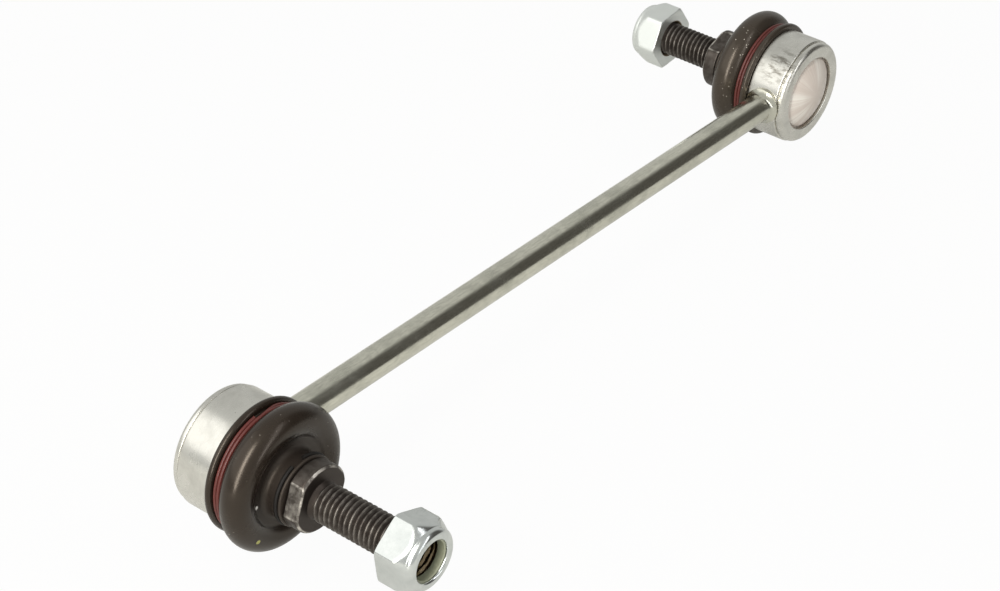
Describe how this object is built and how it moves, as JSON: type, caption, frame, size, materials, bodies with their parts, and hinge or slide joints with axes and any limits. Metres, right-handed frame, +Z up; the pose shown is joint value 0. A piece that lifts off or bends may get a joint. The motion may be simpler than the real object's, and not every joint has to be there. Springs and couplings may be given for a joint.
{
  "type": "stabilizer link",
  "caption": "Straight anti-roll-bar drop link: a round rod with a sealed ball joint at each end, opposed threaded studs, collars with wrench flats and nylon-insert lock nuts.",
  "frame": {"origin": "middle of the rod on its axis, halfway between the two stud axes", "axes": "+X along the rod from end A to end B, +Y along the stud of end B, the stud of end A along -Y, +Z up"},
  "size_m": [0.2754, 0.1139, 0.0374],
  "materials": {
    "zinc_plated_rod": "bright zinc plate",
    "zinc_plated_housing": "bright zinc plate",
    "seat_plastic": "natural moulded plastic",
    "cap_plastic": "natural moulded plastic",
    "red_band": "red coated spring wire",
    "boot_rubber": "satin moulded rubber",
    "clip_wire": "black spring wire",
    "black_stud": "black phosphate, oiled",
    "zinc_plated_nut": "bright zinc plate",
    "insert_nylon": "translucent nylon"
  },
  "bodies": {
    "link": {"link_rod": "zinc_plated_rod", "housing_a": "zinc_plated_housing", "housing_b": "zinc_plated_housing", "ball_seat_a": "seat_plastic", "ball_seat_b": "seat_plastic", "end_cap_a": "cap_plastic", "end_cap_b": "cap_plastic", "boot_band_a": "red_band", "boot_band_b": "red_band"},
    "boot_a": {"dust_boot_a": "boot_rubber"},
    "clip_a": {"boot_clip_a": "clip_wire"},
    "stud_a": {"ball_stud_a": "black_stud"},
    "nut_a": {"lock_nut_a": "zinc_plated_nut", "nut_insert_a": "insert_nylon"},
    "boot_b": {"dust_boot_b": "boot_rubber"},
    "clip_b": {"boot_clip_b": "clip_wire"},
    "stud_b": {"ball_stud_b": "black_stud"},
    "nut_b": {"lock_nut_b": "zinc_plated_nut", "nut_insert_b": "insert_nylon"}
  },
  "joints": [
    {"name": "swing_up_a", "type": "hinge", "parent": "link", "child": "boot_a", "pos_m": [-0.119, -0.0015, 0], "axis": [1, 0, 0], "range_deg": [-18, 18], "deforming": ["dust_boot_a"]},
    {"name": "swing_side_a", "type": "hinge", "parent": "boot_a", "child": "clip_a", "pos_m": [-0.119, -0.0015, 0], "axis": [0, 0, 1], "range_deg": [-18, 18], "deforming": ["dust_boot_a"]},
    {"name": "spin_a", "type": "hinge", "parent": "clip_a", "child": "stud_a", "pos_m": [-0.119, -0.0015, 0], "axis": [0, -1, 0], "continuous": true},
    {"name": "nut_slide_a", "type": "slide", "parent": "stud_a", "child": "nut_a", "axis": [0, -1, 0], "range_m": [-0.0231, 0.0103]},
    {"name": "swing_up_b", "type": "hinge", "parent": "link", "child": "boot_b", "pos_m": [0.119, 0.0015, 0], "axis": [1, 0, 0], "range_deg": [-18, 18], "deforming": ["dust_boot_b"]},
    {"name": "swing_side_b", "type": "hinge", "parent": "boot_b", "child": "clip_b", "pos_m": [0.119, 0.0015, 0], "axis": [0, 0, 1], "range_deg": [-18, 18], "deforming": ["dust_boot_b"]},
    {"name": "spin_b", "type": "hinge", "parent": "clip_b", "child": "stud_b", "pos_m": [0.119, 0.0015, 0], "axis": [0, 1, 0], "continuous": true},
    {"name": "nut_slide_b", "type": "slide", "parent": "stud_b", "child": "nut_b", "axis": [0, 1, 0], "range_m": [-0.0169, 0.0162]}
  ]
}
